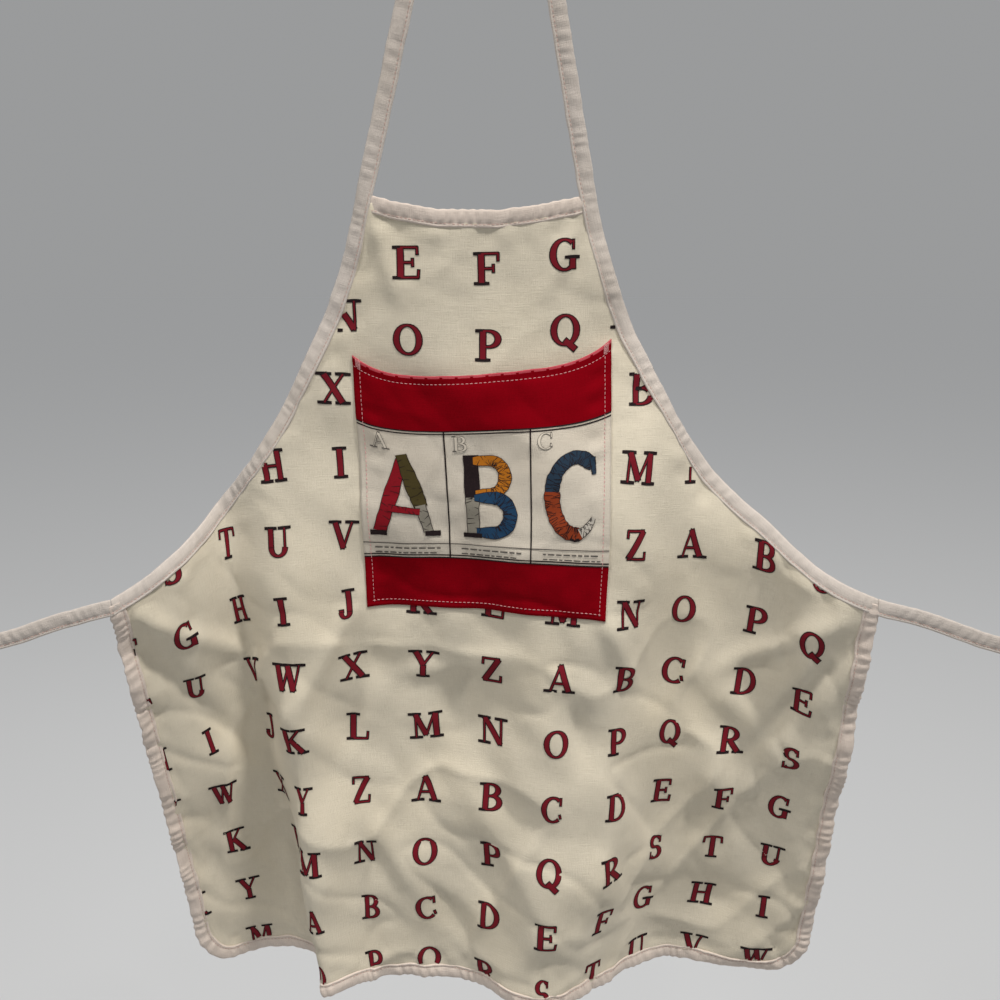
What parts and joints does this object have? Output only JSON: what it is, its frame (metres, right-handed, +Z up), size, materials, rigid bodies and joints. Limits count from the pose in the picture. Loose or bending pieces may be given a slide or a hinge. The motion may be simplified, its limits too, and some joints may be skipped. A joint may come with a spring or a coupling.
{
  "type": "bib apron on a wall hook",
  "caption": "Bib apron with a patch pocket, neck loop and waist ties, hanging by its neck loop from a small coat hook.",
  "frame": {"origin": "on the wall plane, at the back face of the hook plate, at the plate's middle", "axes": "+Z up, +Y into the wall, +X to the viewer's right; the apron's printed front faces -Y"},
  "size_m": [0.94, 0.1348, 1.1225],
  "materials": {
    "printed_canvas": "matt",
    "cotton_tape": "matt",
    "red_pocket_canvas": "matt",
    "hook_steel": "satin",
    "screw_steel": "satin"
  },
  "bodies": {
    "wall_hook": {"hook_plate": "hook_steel", "hook_arm": "hook_steel", "hook_screw_upper": "screw_steel", "hook_screw_lower": "screw_steel"},
    "neck_loop": {"neck_bight": "cotton_tape"},
    "apron": {"body_panel": "printed_canvas", "pocket_panel": "red_pocket_canvas", "bib_top_binding": "cotton_tape", "left_armhole_binding": "cotton_tape", "right_armhole_binding": "cotton_tape", "left_side_binding": "cotton_tape", "right_side_binding": "cotton_tape", "bottom_binding": "cotton_tape", "left_neck_strap": "cotton_tape", "right_neck_strap": "cotton_tape"},
    "left_tie": {"left_waist_tie": "cotton_tape", "left_tie_knot": "cotton_tape"},
    "right_tie": {"right_waist_tie": "cotton_tape", "right_tie_knot": "cotton_tape"}
  },
  "joints": [
    {"name": "swing_sideways", "type": "hinge", "parent": "wall_hook", "child": "neck_loop", "pos_m": [0, -0.06, -0.006], "axis": [0, 1, 0], "range_deg": [-30, 30]},
    {"name": "swing_forward", "type": "hinge", "parent": "neck_loop", "child": "apron", "pos_m": [0, -0.0601, -0.12], "axis": [-1, 0, 0], "range_deg": [-0.8, 50]},
    {"name": "left_tie_swing", "type": "hinge", "parent": "apron", "child": "left_tie", "pos_m": [-0.3183, -0.105, -0.6794], "axis": [0, 1, 0], "range_deg": [-62, 40]},
    {"name": "right_tie_swing", "type": "hinge", "parent": "apron", "child": "right_tie", "pos_m": [0.3262, -0.103, -0.6794], "axis": [0, -1, 0], "range_deg": [-62, 40]}
  ]
}
